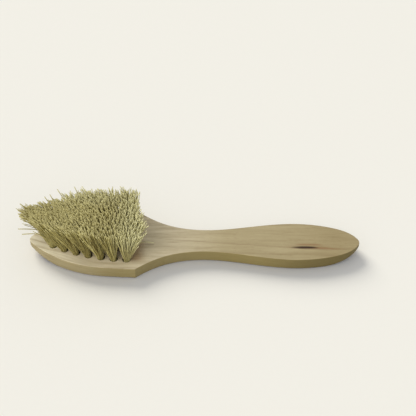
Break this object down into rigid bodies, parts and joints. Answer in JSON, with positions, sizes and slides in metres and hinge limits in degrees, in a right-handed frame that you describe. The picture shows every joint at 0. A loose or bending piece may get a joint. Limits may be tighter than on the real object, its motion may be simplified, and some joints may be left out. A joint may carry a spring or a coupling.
{
  "type": "body dry brush",
  "caption": "Short-handled body brush: a flat one-piece wooden body with a leaf-shaped head, a waisted handle and stiff plant-fibre bristles in wire-anchored tufts.",
  "frame": {"origin": "on the flat back of the wooden body, in its plane of symmetry, half way between the head's tip and the handle's tip", "axes": "+X along the body from the head to the handle, +Z out of the bristle side, +Y across the body; the brush lies on its back with the bristles up"},
  "size_m": [0.2452, 0.0566, 0.038],
  "materials": {
    "wood": "bare, finely sanded pale hardwood with a long fine grain and one dark mineral streak on the handle",
    "plant_fibre": "dry, matt, straw-coloured stiff plant fibre with paler cut tips",
    "anchor_wire": "flat drawn steel wire, satin"
  },
  "bodies": {
    "root": {"anchor_wires": "anchor_wire", "tuft_a1": "plant_fibre", "tuft_a2": "plant_fibre", "tuft_b1": "plant_fibre", "tuft_b2": "plant_fibre", "tuft_b3": "plant_fibre", "tuft_c1": "plant_fibre", "tuft_c2": "plant_fibre", "tuft_c3": "plant_fibre", "tuft_c4": "plant_fibre", "tuft_d1": "plant_fibre", "tuft_d2": "plant_fibre", "tuft_d3": "plant_fibre", "tuft_d4": "plant_fibre", "tuft_e1": "plant_fibre", "tuft_e2": "plant_fibre", "tuft_e3": "plant_fibre", "tuft_e4": "plant_fibre", "tuft_e5": "plant_fibre", "tuft_f1": "plant_fibre", "tuft_f2": "plant_fibre", "tuft_f3": "plant_fibre", "tuft_f4": "plant_fibre", "tuft_f5": "plant_fibre", "tuft_g1": "plant_fibre", "tuft_g2": "plant_fibre", "tuft_g3": "plant_fibre", "tuft_g4": "plant_fibre", "tuft_g5": "plant_fibre", "wooden_body": "wood"}
  },
  "joints": []
}
